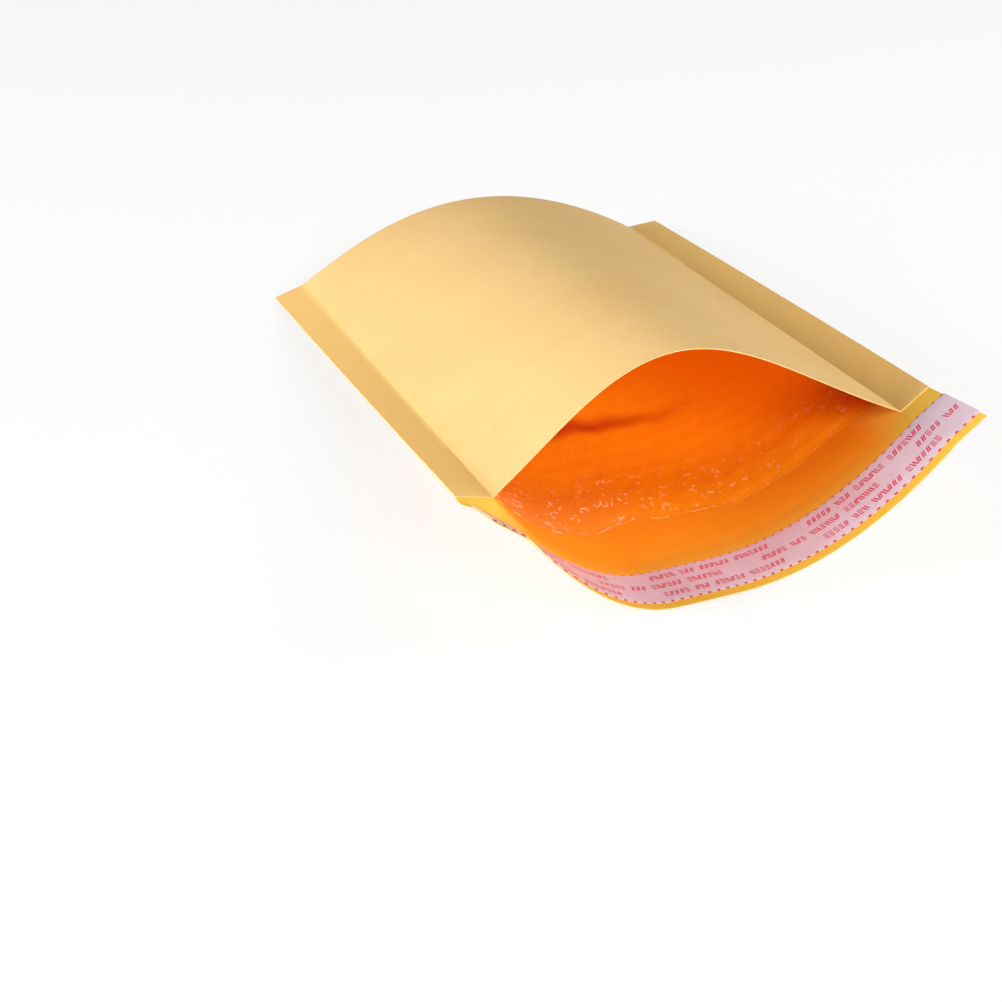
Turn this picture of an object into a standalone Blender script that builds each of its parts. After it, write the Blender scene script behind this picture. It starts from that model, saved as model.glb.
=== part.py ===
"""Padded mailing envelope, opened: kraft shell, bubble film lining, adhesive strip and release liner.

The envelope lies on its lower panel with the mouth and the flap toward -Y. Every surface is a sheet
over a grid of columns (across the width) and rows (along the length). The shape is first laid out in
a level frame, where the side seams lie level, and is then tipped so that the trough of the lower
panel and the two far corners rest on the floor.
"""

import bpy
import bmesh
import math

MM = 0.001

# Flat sizes of the real envelope, in millimetres.
FLAT_WIDTH = 180.0
POCKET_LENGTH = 236.0
FLAP_LENGTH = 35.0
SEAM_WIDTH = 12.0
PAPER = 0.3
PLAY = 0.3

# The opened shape: height of the upper panel over its creases, and depth of the lower one below them.
RISE_MOUTH = 34.7
RISE_CLOSED = 24.2
CLOSED_TAKE_UP = 5.5
DEPTH_MOUTH = 31.5
SEAM_CLIMB = 4.2
ARCH_SOFTNESS = 0.40
ARCH_SKEW = -0.09
TROUGH_CENTRE = -0.215
TROUGH_FLAT = 0.145
TROUGH_POWER = 2.0
REST_RUN = 84.0
TURN_RUN = 92.0
TURN_CREASE = 0.3
TURN_WAVE = 4.0
SEAM_TILT_MOUTH = (0.24, 0.58)
SEAM_TILT_CLOSED = (-0.27, 0.06)
FOLD_GAP = 8.4
FOLD_SOFTNESS = 11.0
FLAP_LIFT = 0.04
FLAP_DIP = 4.6
FLAP_DIP_CREASE = 0.5
FLAP_TILT = (0.66, 0.58)
FLAP_TURN = 10.0

# Bubble film lining.
FILM_BODY = 0.7
BUBBLE_HEIGHT = 3.0
FILM_SET_BACK = 15.0
FILM_MIDDLE_LOWER = 20.0
FILM_MIDDLE_UPPER = 13.0
FILM_RIPPLE = 3.5
FILM_RIPPLE_TURN = 5.0
FILM_RIPPLE_SHIFT = 1.2
FILM_LEAST_GAP = 0.9
FILM_LEAST = 0.2

# Release liner on the flap, and the adhesive strip under it.
LINER_MARGIN = 4.0
LINER_WIDTH = 22.0
LINER_THICK = 0.2
GLUE_WIDTH = 18.0
GLUE_THICK = 0.25

# Worked out from the sizes above.
PANEL_ARC = FLAT_WIDTH - 2 * SEAM_WIDTH
CLOSED_CORNER = DEPTH_MOUTH + SEAM_CLIMB + SEAM_WIDTH * math.sin(min(SEAM_TILT_CLOSED))
PITCH = math.atan((CLOSED_CORNER - PAPER / 2) / POCKET_LENGTH)
LINER_END = FLAP_LENGTH - LINER_MARGIN
LINER_START = LINER_END - LINER_WIDTH
GLUE_INSET = (LINER_WIDTH - GLUE_WIDTH) / 2
FLAP_MIDDLE = (LINER_START + FLAP_LENGTH) / 2

# Grid: the first columns beside a crease, and how many steps the sheets are cut into.
EDGE_COLUMNS = (0.0, 2.5, 5.5)
INNER_STEPS = 26
REST_STEPS = 5
TURN_STEPS = 6
NESTED_STEPS = 3
FINE = 3
FOLD_ANGLES = (45.0, 90.0, 135.0)
SLOPE_ACROSS = 0.002
SLOPE_ALONG = 0.5
CHORD_PRECISION = 0.001
POINT_DIGITS = 4

# Finishes: colour, roughness, and the angle in degrees up to which edges are shaded smooth.
KRAFT_FINISH = ((0.79, 0.56, 0.24), 0.6, 40.0)
FILM_FINISH = ((0.80, 0.40, 0.08), 0.25, 70.0)
GLUE_FINISH = ((0.86, 0.78, 0.55), 0.35, 40.0)
LINER_FINISH = ((0.80, 0.70, 0.76), 0.3, 40.0)


def column_positions():
    """Positions from -1 at the left crease to +1 at the right one."""
    step = (PANEL_ARC - 2 * EDGE_COLUMNS[-1]) / INNER_STEPS
    arcs = list(EDGE_COLUMNS)
    for index in range(1, INNER_STEPS + 1):
        arcs.append(EDGE_COLUMNS[-1] + index * step)
    arcs.append(PANEL_ARC - EDGE_COLUMNS[1])
    arcs.append(PANEL_ARC)
    return [-1.0 + 2.0 * arc / PANEL_ARC for arc in arcs]


def row_positions():
    """Distances of the rows from the mouth: the run that rests, the run that turns over, the rest."""
    rows = [REST_RUN * index / REST_STEPS for index in range(REST_STEPS)]
    rows += [REST_RUN + TURN_RUN * index / TURN_STEPS for index in range(TURN_STEPS)]
    nested = POCKET_LENGTH - FOLD_GAP - REST_RUN - TURN_RUN
    rows += [REST_RUN + TURN_RUN + nested * index / NESTED_STEPS for index in range(NESTED_STEPS + 1)]
    return rows


COLUMNS = column_positions()
ROWS = row_positions()
LAST = len(COLUMNS) - 1


def mix(first, second, share):
    return first + (second - first) * share


def ease(value, crease):
    """From 0 to 1: a smooth start, or with crease above 0 a start that bends the sheet a little."""
    value = min(max(value, 0.0), 1.0)
    smooth = value * value * (3.0 - 2.0 * value)
    bent = 1.0 - (1.0 - value) ** 2
    return mix(smooth, bent, crease)


def arch(across, softness, skew):
    """Unit height of the upper panel between its creases."""
    moved = across - skew * (1.0 - across * across)
    parabola = 1.0 - moved * moved
    bell = math.cos(math.pi * moved / 2.0) ** 2
    return mix(parabola, bell, softness)


def trough(across):
    """Unit depth of the lower panel: a flat run to rest on, curving up to both creases."""
    offset = across - TROUGH_CENTRE
    reach = 1.0 + TROUGH_CENTRE if offset < 0 else 1.0 - TROUGH_CENTRE
    part = max(abs(offset) - TROUGH_FLAT, 0.0) / (reach - TROUGH_FLAT)
    return 1.0 - min(part, 1.0) ** TROUGH_POWER


def chord_for(rise, softness, skew, arc):
    """Distance between the creases of a panel of the given arc length and rise."""
    shortest = arc / 2.0
    longest = arc
    while longest - shortest > CHORD_PRECISION:
        chord = (shortest + longest) / 2.0
        length = 0.0
        for first, second in zip(COLUMNS, COLUMNS[1:]):
            climb = rise * (arch(second, softness, skew) - arch(first, softness, skew))
            length += math.hypot((second - first) * chord / 2.0, climb)
        if length > arc:
            longest = chord
        else:
            shortest = chord
    return (shortest + longest) / 2.0


CHORD_MOUTH = chord_for(RISE_MOUTH, ARCH_SOFTNESS, ARCH_SKEW, PANEL_ARC)
CHORD_CLOSED = chord_for(RISE_CLOSED, 0.0, 0.0, PANEL_ARC - CLOSED_TAKE_UP)


def seam_height(along):
    """Height of the creases, which climb a little toward the closed end."""
    return DEPTH_MOUTH + SEAM_CLIMB * along / POCKET_LENGTH


def half_chord(along):
    return mix(CHORD_MOUTH, CHORD_CLOSED, min(max(along / POCKET_LENGTH, 0.0), 1.0)) / 2.0


def closed_gap(across):
    """Space between the panels next to the closed fold; it closes to nothing at the creases."""
    inset = (1.0 - abs(across)) * PANEL_ARC / 2.0
    return FOLD_GAP * (1.0 - math.exp(-inset / FOLD_SOFTNESS))


def upper_height(across, along):
    """Inner face of the upper panel."""
    share = along / POCKET_LENGTH
    mouth = RISE_MOUTH * arch(across, ARCH_SOFTNESS, ARCH_SKEW)
    closed = RISE_CLOSED * arch(across, 0.0, 0.0)
    return seam_height(along) + mix(mouth, closed, share)


def flap_lift(across, along):
    """The flap's right side rises toward its free edge; its left side dips, most where the liner starts."""
    away = -along
    if across > TROUGH_CENTRE:
        return FLAP_LIFT * away * (across - TROUGH_CENTRE)
    left = min((FLAP_LENGTH - away) / (FLAP_LENGTH - LINER_START), 1.0)
    dip = FLAP_DIP * ease(away / LINER_START, FLAP_DIP_CREASE) * left
    return -dip * (1.0 - trough(across)) ** 2


def lower_height(across, along):
    """Inner face of the lower panel: a trough that turns over into the arch of the closed end."""
    if along <= 0.0:
        return DEPTH_MOUTH * (1.0 - trough(across)) + flap_lift(across, along)
    low = mix(seam_height(along), along * math.tan(PITCH), trough(across))
    high = upper_height(across, along) - closed_gap(across)
    turn = ease((along - REST_RUN) / TURN_RUN, TURN_CREASE)
    wave = TURN_WAVE * math.sin(math.pi * turn) * math.sin(math.pi * across)
    return mix(low, high, turn) - wave


def stretch(height, across, along):
    """How much taller a sheet of unit thickness measures when it is cut upright."""
    near = max(min(across, 1.0 - SLOPE_ACROSS), SLOPE_ACROSS - 1.0)
    right = height(near + SLOPE_ACROSS, along)
    left = height(near - SLOPE_ACROSS, along)
    slope_x = (right - left) / (2.0 * SLOPE_ACROSS * half_chord(along))
    ahead = along + SLOPE_ALONG
    back = along - SLOPE_ALONG if along > SLOPE_ALONG else along
    slope_y = (height(near, ahead) - height(near, back)) / (ahead - back)
    if along <= 0.0:
        slope_y = 0.0
    return math.sqrt(1.0 + slope_x * slope_x + slope_y * slope_y)


def seam_edge(side, along):
    """Outer edge of a seam band, level frame: side is -1 at the left and +1 at the right."""
    share = min(max(along / POCKET_LENGTH, 0.0), 1.0)
    index = 0 if side < 0 else 1
    tilt = mix(SEAM_TILT_MOUTH[index], SEAM_TILT_CLOSED[index], share)
    tilt = mix(tilt, FLAP_TILT[index], ease(-along / FLAP_TURN, 0.0))
    x = side * (half_chord(along) + SEAM_WIDTH * math.cos(tilt))
    if along <= 0.0:
        reach = side * (1.0 + 2.0 * SEAM_WIDTH / CHORD_MOUTH)
        base = DEPTH_MOUTH + flap_lift(reach, along)
    else:
        base = seam_height(along)
    return x, base + SEAM_WIDTH * math.sin(tilt)


def tip(x, y, z):
    """From the level frame, in millimetres, to the resting frame, in metres."""
    sine = math.sin(PITCH)
    cosine = math.cos(PITCH)
    return (x * MM, (y * cosine + z * sine) * MM, (z * cosine - y * sine) * MM)


class Skin:
    """Collects shared points and faces, and turns them into one closed object."""

    def __init__(self):
        self.points = []
        self.faces = []
        self.known = {}

    def point(self, x, y, z):
        key = (round(x, POINT_DIGITS), round(y, POINT_DIGITS), round(z, POINT_DIGITS))
        if key not in self.known:
            self.known[key] = len(self.points)
            self.points.append(tip(x, y, z))
        return self.known[key]

    def face(self, *corners):
        ring = []
        for corner in corners:
            if corner not in ring:
                ring.append(corner)
        if len(ring) > 2:
            self.faces.append(ring)

    def sheet(self, rows):
        """Quads between rows of points; every row has the same number of points."""
        for near, far in zip(rows, rows[1:]):
            for index in range(len(near) - 1):
                self.face(near[index], near[index + 1], far[index + 1], far[index])

    def cut_sheet(self, rows, peaks=()):
        """As sheet, with each quad cut in two the same way, but never through a peak."""
        for near, far in zip(rows, rows[1:]):
            for index in range(len(near) - 1):
                first, second = near[index], near[index + 1]
                third, fourth = far[index + 1], far[index]
                if first in peaks or third in peaks:
                    self.face(first, second, fourth)
                    self.face(second, third, fourth)
                else:
                    self.face(first, second, third)
                    self.face(first, third, fourth)

    def build(self, name, finish):
        colour, roughness, smooth_angle = finish
        mesh = bpy.data.meshes.new(name)
        mesh.from_pydata(self.points, [], self.faces)
        body = bmesh.new()
        body.from_mesh(mesh)
        bmesh.ops.triangulate(body, faces=[face for face in body.faces if len(face.verts) > 4])
        bmesh.ops.recalc_face_normals(body, faces=body.faces)
        if body.calc_volume(signed=True) < 0.0:
            bmesh.ops.reverse_faces(body, faces=body.faces)
        for edge in body.edges:
            bend = math.degrees(edge.calc_face_angle(0.0))
            edge.smooth = len(edge.link_faces) == 2 and bend < smooth_angle
        for face in body.faces:
            face.smooth = True
        body.to_mesh(mesh)
        body.free()
        thing = bpy.data.objects.new(name, mesh)
        bpy.context.collection.objects.link(thing)
        material = bpy.data.materials.new(name)
        material.use_nodes = True
        shader = material.node_tree.nodes["Principled BSDF"]
        shader.inputs["Base Color"].default_value = colour + (1.0,)
        shader.inputs["Roughness"].default_value = roughness
        mesh.materials.append(material)
        return thing


def fold_points(skin, x, start, middle, radius):
    """Points of a half-round fold at the closed end, from the upper sheet to the lower one."""
    made = []
    for angle in FOLD_ANGLES:
        turn = math.radians(angle)
        made.append(skin.point(x, start + radius * math.sin(turn), middle + radius * math.cos(turn)))
    return made


def closed_row(across):
    """Distance from the mouth at which a column starts its closed fold."""
    return POCKET_LENGTH - PAPER - closed_gap(across) / 2.0


def kraft_shell():
    """One sheet of kraft paper: upper panel, closed fold, lower panel and flap, glued at the sides."""
    skin = Skin()
    outer_columns = []
    inner_columns = []
    seam_mid = []
    for side in (-1, 1):
        column = []
        for along in list(ROWS) + [POCKET_LENGTH - PAPER]:
            x, z = seam_edge(side, along)
            column.append(skin.point(x, along, z + PAPER))
        x, z = seam_edge(side, POCKET_LENGTH - PAPER)
        column += fold_points(skin, x, POCKET_LENGTH - PAPER, z, PAPER)
        for along in reversed(list(ROWS) + [POCKET_LENGTH - PAPER]):
            x, z = seam_edge(side, along)
            column.append(skin.point(x, along, z - PAPER))
        outer_columns.append(column)
        x, z = seam_edge(side, 0.0)
        seam_mid.append(skin.point(x, 0.0, z))
    panel_outer = []
    for across in COLUMNS:
        rows = list(ROWS) + [closed_row(across)]
        outer = []
        inner = []
        for along in rows:
            x = across * half_chord(along)
            z = upper_height(across, along)
            thick = PAPER * stretch(upper_height, across, along)
            outer.append(skin.point(x, along, z + thick))
            inner.append(skin.point(x, along, z))
        top = upper_height(across, rows[-1])
        bottom = lower_height(across, rows[-1])
        x = across * half_chord(rows[-1])
        middle = (top + bottom) / 2.0
        half = (top - bottom) / 2.0
        outer += fold_points(skin, x, rows[-1], middle, half + PAPER)
        inner += fold_points(skin, x, rows[-1], middle, half)
        for along in reversed(rows):
            x = across * half_chord(along)
            z = lower_height(across, along)
            thick = PAPER * stretch(lower_height, across, along)
            outer.append(skin.point(x, along, z - thick))
            inner.append(skin.point(x, along, z))
        panel_outer.append(outer)
        inner_columns.append(inner)
    outer_columns = [outer_columns[0]] + panel_outer + [outer_columns[1]]
    skin.sheet(outer_columns)
    skin.sheet(inner_columns)

    # Outer edges of the two seam bands; the first face also meets the flap between the two layers.
    for column, mid in ((outer_columns[0], seam_mid[0]), (outer_columns[-1], seam_mid[1])):
        count = len(ROWS) + 1
        upper = column[:count]
        lower = list(reversed(column))[:count]
        skin.face(upper[0], mid, lower[0], lower[1], upper[1])
        for index in range(1, count - 1):
            skin.face(upper[index], lower[index], lower[index + 1], upper[index + 1])
        skin.face(*column[count - 1:len(column) - count + 1])

    # Edge of the upper layer at the mouth.
    rim_outer = [column[0] for column in outer_columns]
    rim_inner = [seam_mid[0]] + [column[0] for column in inner_columns] + [seam_mid[1]]
    skin.sheet([rim_outer, rim_inner])

    # The flap carries on from the lower panel.
    top_rows = [[seam_mid[0]] + [column[-1] for column in inner_columns] + [seam_mid[1]]]
    bottom_rows = [[column[-1] for column in outer_columns]]
    for away in (LINER_START, FLAP_MIDDLE, FLAP_LENGTH):
        top = []
        bottom = []
        for x, z, thick in flap_section(away):
            top.append(skin.point(x, -away, z))
            bottom.append(skin.point(x, -away, z - thick))
        top_rows.append(top)
        bottom_rows.append(bottom)
    skin.cut_sheet(top_rows)
    skin.cut_sheet(bottom_rows)
    for top, bottom, next_top, next_bottom in zip(top_rows, bottom_rows, top_rows[1:], bottom_rows[1:]):
        skin.face(top[0], bottom[0], next_bottom[0], next_top[0])
        skin.face(top[-1], bottom[-1], next_bottom[-1], next_top[-1])
    skin.sheet([top_rows[-1], bottom_rows[-1]])
    return skin.build("kraft_shell", KRAFT_FINISH)


def flap_section(away):
    """Upper face of the flap at a distance from the mouth line: x, z and upright thickness."""
    section = []
    left_x, left_z = seam_edge(-1, -away)
    section.append((left_x, left_z, PAPER))
    for across in COLUMNS:
        x = across * half_chord(-away)
        z = lower_height(across, -away)
        section.append((x, z, PAPER * stretch(lower_height, across, -away)))
    right_x, right_z = seam_edge(1, -away)
    section.append((right_x, right_z, PAPER))
    return section


def film_start(across, middle):
    """Distance of the film's edge from the mouth line: it waves across the opening."""
    bulge = 1.0 - across * across
    ripple = FILM_RIPPLE * math.cos(FILM_RIPPLE_TURN * across + FILM_RIPPLE_SHIFT) * bulge
    return FILM_SET_BACK + (middle - FILM_SET_BACK) * bulge + ripple


def film_rows(across, middle):
    inside = min(max(across, COLUMNS[2]), COLUMNS[LAST - 2])
    if inside in (COLUMNS[2], COLUMNS[LAST - 2]):
        first = FILM_SET_BACK
    else:
        first = film_start(across, middle)
    return [first] + list(ROWS[2:]) + [closed_row(across)]


def film_depth(height, other, across, along, bubble):
    """Upright distance from the paper's inner face to the film's free face."""
    slope = stretch(height, across, along)
    gap = abs(upper_height(across, along) - lower_height(across, along))
    outer_gap = gap - PLAY * (slope + stretch(other, across, along))
    wanted = (FILM_BODY + (BUBBLE_HEIGHT if bubble else 0.0)) * slope
    return PLAY * slope + max(min(wanted, (outer_gap - FILM_LEAST_GAP) / 2.0), FILM_LEAST)


def bubble_lining():
    """Bubble film, folded once at the closed end and welded at both sides into a bag."""
    skin = Skin()
    back = {}
    face = {}
    peaks = set()
    for layer in ("upper", "lower"):
        height = upper_height if layer == "upper" else lower_height
        other = lower_height if layer == "upper" else upper_height
        sign = -1.0 if layer == "upper" else 1.0
        middle = FILM_MIDDLE_UPPER if layer == "upper" else FILM_MIDDLE_LOWER
        for index in range(1, LAST):
            across = COLUMNS[index]
            rows = film_rows(across, middle)
            column = []
            for along in rows:
                x = across * half_chord(along)
                z = height(across, along) + sign * PLAY * stretch(height, across, along)
                column.append(skin.point(x, along, z))
            back[layer, index] = column
            if not 2 <= index <= LAST - 2:
                continue
            fine_rows = []
            for near, far in zip(rows, rows[1:]):
                for part in range(FINE):
                    fine_rows.append(mix(near, far, part / FINE))
            fine_rows.append(rows[-1])
            column = []
            for order, along in enumerate(fine_rows):
                inner = 0 < order < len(fine_rows) - 1 and 2 < index < LAST - 2
                bubble = inner and (order + index) % 2 == 0
                x = across * half_chord(along)
                depth = film_depth(height, other, across, along, bubble)
                column.append(skin.point(x, along, height(across, along) + sign * depth))
                if bubble:
                    peaks.add(column[-1])
            face[layer, index] = column

    # Faces against the paper, with the rounded fold between the two layers.
    whole_back = []
    for index in range(1, LAST):
        across = COLUMNS[index]
        start = closed_row(across)
        top = upper_height(across, start)
        bottom = lower_height(across, start)
        radius = (top - bottom) / 2.0 - PLAY
        x = across * half_chord(start)
        fold = fold_points(skin, x, start, (top + bottom) / 2.0, radius)
        whole_back.append(back["upper", index] + fold + list(reversed(back["lower", index])))
    skin.sheet(whole_back)

    # Faces toward the pocket.
    whole_face = []
    for index in range(2, LAST - 1):
        across = COLUMNS[index]
        start = closed_row(across)
        top = upper_height(across, start)
        bottom = lower_height(across, start)
        x = across * half_chord(start)
        end = skin.point(x, start + FILM_LEAST_GAP / 2.0, (top + bottom) / 2.0)
        whole_face.append(face["upper", index] + [end] + list(reversed(face["lower", index])))
    skin.cut_sheet(whole_face, peaks)

    # Side walls outside and inside, row by row.
    count = len(ROWS)
    for column in (whole_back[0], whole_back[-1]):
        upper = column[:count]
        lower = list(reversed(column))[:count]
        for index in range(count - 1):
            skin.face(upper[index], lower[index], lower[index + 1], upper[index + 1])
        skin.face(*column[count - 1:len(column) - count + 1])
    for column in (whole_face[0], whole_face[-1]):
        half = (len(column) - 1) // 2
        upper = column[:half]
        lower = list(reversed(column))[:half]
        for index in range(half - 1):
            skin.face(upper[index], lower[index], lower[index + 1], upper[index + 1])
        skin.face(upper[-1], lower[-1], column[half])

    # Cut edge of the film at the mouth.
    for layer in ("upper", "lower"):
        for index in range(2, LAST - 2):
            here = back[layer, index][0]
            there = back[layer, index + 1][0]
            skin.face(here, there, face[layer, index + 1][0], face[layer, index][0])
    for first, second in ((1, 2), (LAST - 1, LAST - 2)):
        skin.face(back["upper", first][0], back["upper", second][0], face["upper", second][0],
                  face["lower", second][0], back["lower", second][0], back["lower", first][0])
    return skin.build("bubble_lining", FILM_FINISH)


def flap_band(name, start, end, low, high, finish):
    """A band that lies along the whole flap, between two heights above its inner face."""
    skin = Skin()
    below = []
    above = []
    for away in (start, FLAP_MIDDLE, end):
        section = flap_section(away)
        below.append([skin.point(x, -away, z + low * thick / PAPER) for x, z, thick in section])
        above.append([skin.point(x, -away, z + high * thick / PAPER) for x, z, thick in section])
    skin.cut_sheet(below)
    skin.cut_sheet(above)
    for side in (0, -1):
        skin.sheet([below[side], above[side]])
        skin.sheet([[row[side] for row in below], [row[side] for row in above]])
    return skin.build(name, finish)


def main():
    for thing in list(bpy.data.objects):
        bpy.data.objects.remove(thing, do_unlink=True)
    glue_top = PLAY + GLUE_THICK
    liner_base = glue_top + PLAY
    pieces = [
        kraft_shell(),
        bubble_lining(),
        flap_band("adhesive_strip", LINER_START + GLUE_INSET, LINER_END - GLUE_INSET,
                  PLAY, glue_top, GLUE_FINISH),
        flap_band("release_liner", LINER_START, LINER_END,
                  liner_base, liner_base + LINER_THICK, LINER_FINISH),
    ]
    low = min(vertex.co.z for piece in pieces for vertex in piece.data.vertices)
    front = min(vertex.co.y for piece in pieces for vertex in piece.data.vertices)
    rear = max(vertex.co.y for piece in pieces for vertex in piece.data.vertices)
    left = min(vertex.co.x for piece in pieces for vertex in piece.data.vertices)
    right = max(vertex.co.x for piece in pieces for vertex in piece.data.vertices)
    for piece in pieces:
        for vertex in piece.data.vertices:
            vertex.co.x -= (left + right) / 2.0
            vertex.co.y -= (front + rear) / 2.0
            vertex.co.z -= low


main()
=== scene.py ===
"""Padded mailing envelope, lying open: the finish of its kraft paper, bubble film and release liner.

Each sheet starts as a flat grid of its cut size. Its points are then carried to the place where the
folded and opened sheet lies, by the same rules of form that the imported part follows.
"""

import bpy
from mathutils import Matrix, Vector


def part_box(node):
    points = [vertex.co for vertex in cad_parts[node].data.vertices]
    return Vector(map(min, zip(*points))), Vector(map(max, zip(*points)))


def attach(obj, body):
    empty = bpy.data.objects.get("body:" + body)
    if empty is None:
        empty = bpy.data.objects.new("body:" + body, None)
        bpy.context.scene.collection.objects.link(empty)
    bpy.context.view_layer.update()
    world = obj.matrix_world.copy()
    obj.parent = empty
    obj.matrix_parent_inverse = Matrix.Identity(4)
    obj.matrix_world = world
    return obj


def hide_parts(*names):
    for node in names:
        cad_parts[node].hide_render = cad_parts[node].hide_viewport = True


bl_info = {
    "name": "Padded envelope",
    "version": (1, 0, 0),
    "blender": (4, 5, 0),
    "location": "3D View > Sidebar > Envelope",
    "description": "Kraft paper, bubble film and release liner of an opened padded envelope",
    "category": "Mesh",
}

import bpy
import math
import numpy as np
from mathutils import Matrix

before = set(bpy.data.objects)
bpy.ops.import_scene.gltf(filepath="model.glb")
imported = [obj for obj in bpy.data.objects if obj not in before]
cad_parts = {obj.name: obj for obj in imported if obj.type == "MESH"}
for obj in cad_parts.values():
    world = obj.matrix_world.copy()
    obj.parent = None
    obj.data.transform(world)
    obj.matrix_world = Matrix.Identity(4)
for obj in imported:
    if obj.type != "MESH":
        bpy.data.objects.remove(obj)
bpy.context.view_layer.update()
BODY = "root"
MM = 0.001

# Waves that are added up in one random relief.
WAVE_COUNT = 9

# Faces that meet at more than this angle keep a sharp edge between them.
SHARP_ANGLE = math.radians(50.0)

# Flat sizes of the envelope, in millimetres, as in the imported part.
FLAT_WIDTH = 180.0
POCKET_LENGTH = 236.0
FLAP_LENGTH = 35.0
SEAM_WIDTH = 12.0
PAPER = 0.3
PLAY = 0.3

# Room between two sheets that the scene lays against each other.
HAIR = 0.03

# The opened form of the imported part.
RISE_MOUTH = 34.7
RISE_CLOSED = 24.2
CLOSED_TAKE_UP = 5.5
DEPTH_MOUTH = 31.5
SEAM_CLIMB = 4.2
ARCH_SOFTNESS = 0.40
ARCH_SKEW = -0.09
TROUGH_CENTRE = -0.215
TROUGH_FLAT = 0.145
TROUGH_POWER = 2.0
REST_RUN = 84.0
TURN_RUN = 92.0
TURN_CREASE = 0.3
TURN_WAVE = 4.0
SEAM_TILT_MOUTH = (0.24, 0.58)
SEAM_TILT_CLOSED = (-0.27, 0.06)
FOLD_GAP = 8.4
FOLD_SOFTNESS = 11.0
FLAP_LIFT = 0.04
FLAP_DIP = 4.6
FLAP_DIP_CREASE = 0.5
FLAP_TILT = (0.66, 0.58)
FLAP_TURN = 10.0

# Bubble film and the strips on the flap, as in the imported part.
FILM_SET_BACK = 15.0
FILM_MIDDLE_LOWER = 20.0
FILM_MIDDLE_UPPER = 13.0
FILM_RIPPLE = 3.5
FILM_LEAST_GAP = 0.9
FILM_LEAST = 0.2
FILM_INSET = 2.5
LINER_MARGIN = 4.0
LINER_WIDTH = 22.0
GLUE_WIDTH = 18.0

# The film near its cut edge, in the scene alone.
FILM_LOOSE_RUN = 18.0
FILM_PRESSED_RUN = 14.0
FILM_WELD_RUN = 7.0
FILM_SETTLE_RUN = 4.0
FILM_CURL = 0.5
FILM_CURL_RUN = 1.3
FILM_FLOAT = 0.02
FILM_FINE_ROWS = 55.0

# Steps of the grids in millimetres, and of the closed fold as a share of it.
PAPER_COLUMN = 1.6
BAND_COLUMN = 2.0
PAPER_ROW = 1.8
FLAP_ROW = 1.75
PAPER_FOLD_ROW = 0.1
FILM_COLUMN = 1.05
FILM_FINE_ROW = 0.9
FILM_LOWER_ROW = 2.2
FILM_UPPER_ROW = 2.5
FILM_FOLD_ROW = 0.125
STRIP_COLUMN = 1.2
STRIP_ROW = 1.0

# Insets of the paper's extra columns beside each crease.
CREASE_INSETS = (4.6, 3.2, 2.1, 1.3, 0.7, 0.3)

# Worked out from the sizes above.
HALF_PANEL = FLAT_WIDTH / 2 - SEAM_WIDTH
PANEL_ARC = 2 * HALF_PANEL
CLOSED_CORNER = DEPTH_MOUTH + SEAM_CLIMB + SEAM_WIDTH * math.sin(min(SEAM_TILT_CLOSED))
PITCH = math.atan((CLOSED_CORNER - PAPER / 2) / POCKET_LENGTH)
LINER_END = FLAP_LENGTH - LINER_MARGIN
LINER_START = LINER_END - LINER_WIDTH
GLUE_INSET = (LINER_WIDTH - GLUE_WIDTH) / 2

# The folded length runs from -1 at the flap's end, over 0 at the mouth and the closed fold between
# 1 and 2, to 3 at the edge of the upper panel.
FLAP_TIP, MOUTH, FOLD_START, FOLD_END, UPPER_EDGE = -1.0, 0.0, 1.0, 2.0, 3.0


def mix(first, second, part):
    return first + (second - first) * part


def ease(value, crease):
    """From 0 to 1: a smooth start, or with crease above 0 a start that bends the sheet a little."""
    value = np.clip(value, 0.0, 1.0)
    return mix(value ** 2 * (3.0 - 2.0 * value), 1.0 - (1.0 - value) ** 2, crease)


def arch(across, softness, skew):
    """Unit height of the upper panel between its creases."""
    moved = across - skew * (1.0 - across ** 2)
    return mix(1.0 - moved ** 2, np.cos(math.pi * moved / 2.0) ** 2, softness)


def trough(across):
    """Unit depth of the lower panel: a flat run to rest on, curving up to both creases."""
    offset = across - TROUGH_CENTRE
    reach = np.where(offset < 0, 1.0 + TROUGH_CENTRE, 1.0 - TROUGH_CENTRE)
    part = np.maximum(np.abs(offset) - TROUGH_FLAT, 0.0) / (reach - TROUGH_FLAT)
    return 1.0 - np.minimum(part, 1.0) ** TROUGH_POWER


def chord_for(rise, softness, skew, arc):
    """Distance between the creases of a panel of the given arc length and rise."""
    across = np.linspace(-1.0, 1.0, 121)
    climbs = np.diff(rise * arch(across, softness, skew))
    shortest, longest = arc / 2.0, arc
    while longest - shortest > 0.001:
        chord = (shortest + longest) / 2.0
        if np.hypot(np.diff(across) * chord / 2.0, climbs).sum() > arc:
            longest = chord
        else:
            shortest = chord
    return (shortest + longest) / 2.0


CHORD_MOUTH = chord_for(RISE_MOUTH, ARCH_SOFTNESS, ARCH_SKEW, PANEL_ARC)
CHORD_CLOSED = chord_for(RISE_CLOSED, 0.0, 0.0, PANEL_ARC - CLOSED_TAKE_UP)


def seam_height(along):
    """Height of the seam plane: it climbs a little toward the closed end."""
    return DEPTH_MOUTH + SEAM_CLIMB * along / POCKET_LENGTH


def half_chord(along):
    """Half the distance between the two creases of a panel."""
    return mix(CHORD_MOUTH, CHORD_CLOSED, np.clip(along / POCKET_LENGTH, 0.0, 1.0)) / 2.0


def closed_gap(across):
    """Space between the panels next to the closed fold; it closes to nothing at the creases."""
    inset = (1.0 - np.abs(across)) * HALF_PANEL
    return FOLD_GAP * (1.0 - np.exp(-inset / FOLD_SOFTNESS))


def closed_row(across):
    """Distance from the mouth at which a column starts its closed fold."""
    return POCKET_LENGTH - PAPER - closed_gap(across) / 2.0


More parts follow.
